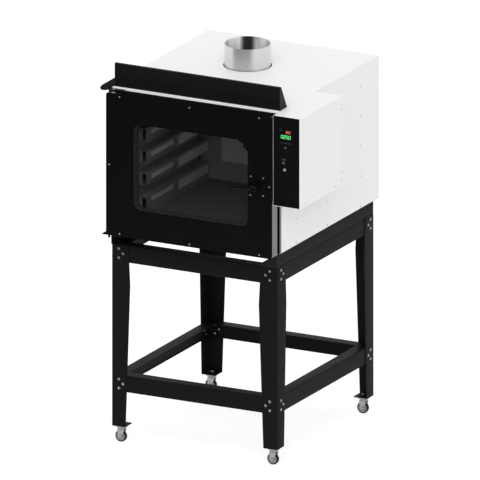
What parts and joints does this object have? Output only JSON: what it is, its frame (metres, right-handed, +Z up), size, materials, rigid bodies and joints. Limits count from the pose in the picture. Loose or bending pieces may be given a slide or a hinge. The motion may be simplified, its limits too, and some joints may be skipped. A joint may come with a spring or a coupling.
{
  "type": "gas convection oven",
  "caption": "Gas convection oven with a glazed side-hinged door, control box and flue collar on an open steel stand with swivel casters.",
  "frame": {"origin": "middle of the whole object's box at floor level", "axes": "+X to the user's right, +Y to the back, away from the door, +Z up"},
  "size_m": [0.9876, 1.0602, 1.707],
  "materials": {
    "stand_black": "black powder coat, satin",
    "bolt_zinc": "yellowish zinc plate",
    "caster_zinc": "zinc plate",
    "wheel_grey": "moulded",
    "caster_rubber": "dark grey rubber",
    "body_white": "white powder coat, satin",
    "sheet_zinc": "galvanised sheet",
    "frame_steel": "brushed stainless",
    "chamber_steel": "matt stainless",
    "mineral_wool": "mineral wool",
    "pipe_brass": "plain brass",
    "inlet_plastic": "moulded black",
    "flue_steel": "bright rolled stainless",
    "hood_black": "black powder coat",
    "screw_steel": "stainless",
    "panel_gloss": "gloss black",
    "board_green": "circuit board",
    "button_grey": "moulded grey",
    "door_black": "black powder coat, satin",
    "door_pane": "smoked glass",
    "seal_rubber": "silicone",
    "handle_black": "moulded black"
  },
  "bodies": {
    "root": {"leg_front_left": "stand_black", "leg_front_right": "stand_black", "leg_rear_left": "stand_black", "leg_rear_right": "stand_black", "upper_rails": "stand_black", "lower_rails": "stand_black", "stand_bolts": "bolt_zinc", "caster_stems": "caster_zinc", "base_rail_left": "stand_black", "base_rail_right": "stand_black", "side_panel_left": "body_white", "side_panel_right": "body_white", "top_panel": "body_white", "back_panel": "body_white", "base_panel": "sheet_zinc", "front_frame": "frame_steel", "chamber": "chamber_steel", "insulation": "mineral_wool", "rack_left": "chamber_steel", "rack_right": "chamber_steel", "air_baffle": "chamber_steel", "fan_guard": "chamber_steel", "fan_motor": "sheet_zinc", "burner_tubes": "sheet_zinc", "gas_valve": "sheet_zinc", "gas_pipe": "pipe_brass", "power_inlet": "inlet_plastic", "flue_collar": "flue_steel", "hood_bar": "hood_black", "panel_screws": "screw_steel", "control_box": "body_white", "control_panel": "panel_gloss", "control_board": "board_green", "hinge_brackets": "hood_black", "hinge_pins": "frame_steel"},
    "door": {"door_front_plate": "door_black", "door_frame": "frame_steel", "door_glass": "door_pane", "door_seal": "seal_rubber", "door_screws": "screw_steel", "hinge_ears": "frame_steel"},
    "handle": {"handle_lever": "handle_black", "latch_tongue": "frame_steel"},
    "fan": {"fan_wheel": "chamber_steel"},
    "start_key": {"start_button": "button_grey"},
    "push_key": {"push_button": "button_grey"},
    "rocker": {"rocker_switch": "inlet_plastic"},
    "fork_front_left": {"caster_fork_front_left": "caster_zinc"},
    "roller_front_left": {"caster_wheel_front_left": "wheel_grey", "caster_tyre_front_left": "caster_rubber"},
    "fork_front_right": {"caster_fork_front_right": "caster_zinc"},
    "roller_front_right": {"caster_wheel_front_right": "wheel_grey", "caster_tyre_front_right": "caster_rubber"},
    "fork_rear_left": {"caster_fork_rear_left": "caster_zinc"},
    "roller_rear_left": {"caster_wheel_rear_left": "wheel_grey", "caster_tyre_rear_left": "caster_rubber"},
    "fork_rear_right": {"caster_fork_rear_right": "caster_zinc"},
    "roller_rear_right": {"caster_wheel_rear_right": "wheel_grey", "caster_tyre_rear_right": "caster_rubber"}
  },
  "joints": [
    {"name": "door_hinge", "type": "hinge", "parent": "root", "child": "door", "pos_m": [-0.4538, -0.45085, 1.273], "axis": [0, 0, -1], "range_deg": [0, 130]},
    {"name": "handle_turn", "type": "hinge", "parent": "door", "child": "handle", "pos_m": [0.2842, -0.49585, 1.272], "axis": [0, -1, 0], "range_deg": [0, 90]},
    {"name": "fan_spin", "type": "hinge", "parent": "root", "child": "fan", "pos_m": [-0.0518, 0.26315, 1.289], "axis": [0, 1, 0], "continuous": true},
    {"name": "start_press", "type": "slide", "parent": "root", "child": "start_key", "axis": [0, 1, 0], "range_m": [0, 0.002], "stiffness_N_per_m": 500},
    {"name": "push_press", "type": "slide", "parent": "root", "child": "push_key", "axis": [0, 1, 0], "range_m": [0, 0.002], "stiffness_N_per_m": 500},
    {"name": "rocker_tip", "type": "hinge", "parent": "root", "child": "rocker", "pos_m": [0.4152, -0.48885, 1.404], "axis": [1, 0, 0], "range_deg": [0, 9]},
    {"name": "swivel_front_left", "type": "hinge", "parent": "root", "child": "fork_front_left", "pos_m": [-0.4193, -0.39835, 0.06], "axis": [0, 0, 1], "continuous": true},
    {"name": "roll_front_left", "type": "hinge", "parent": "fork_front_left", "child": "roller_front_left", "pos_m": [-0.4223, -0.39835, 0.026], "axis": [0, 1, 0], "continuous": true},
    {"name": "swivel_front_right", "type": "hinge", "parent": "root", "child": "fork_front_right", "pos_m": [0.3157, -0.39835, 0.06], "axis": [0, 0, 1], "continuous": true},
    {"name": "roll_front_right", "type": "hinge", "parent": "fork_front_right", "child": "roller_front_right", "pos_m": [0.3127, -0.39835, 0.026], "axis": [0, 1, 0], "continuous": true},
    {"name": "swivel_rear_left", "type": "hinge", "parent": "root", "child": "fork_rear_left", "pos_m": [-0.4193, 0.44665, 0.06], "axis": [0, 0, 1], "continuous": true},
    {"name": "roll_rear_left", "type": "hinge", "parent": "fork_rear_left", "child": "roller_rear_left", "pos_m": [-0.4223, 0.44665, 0.026], "axis": [0, 1, 0], "continuous": true},
    {"name": "swivel_rear_right", "type": "hinge", "parent": "root", "child": "fork_rear_right", "pos_m": [0.3157, 0.44665, 0.06], "axis": [0, 0, 1], "continuous": true},
    {"name": "roll_rear_right", "type": "hinge", "parent": "fork_rear_right", "child": "roller_rear_right", "pos_m": [0.3127, 0.44665, 0.026], "axis": [0, 1, 0], "continuous": true}
  ]
}
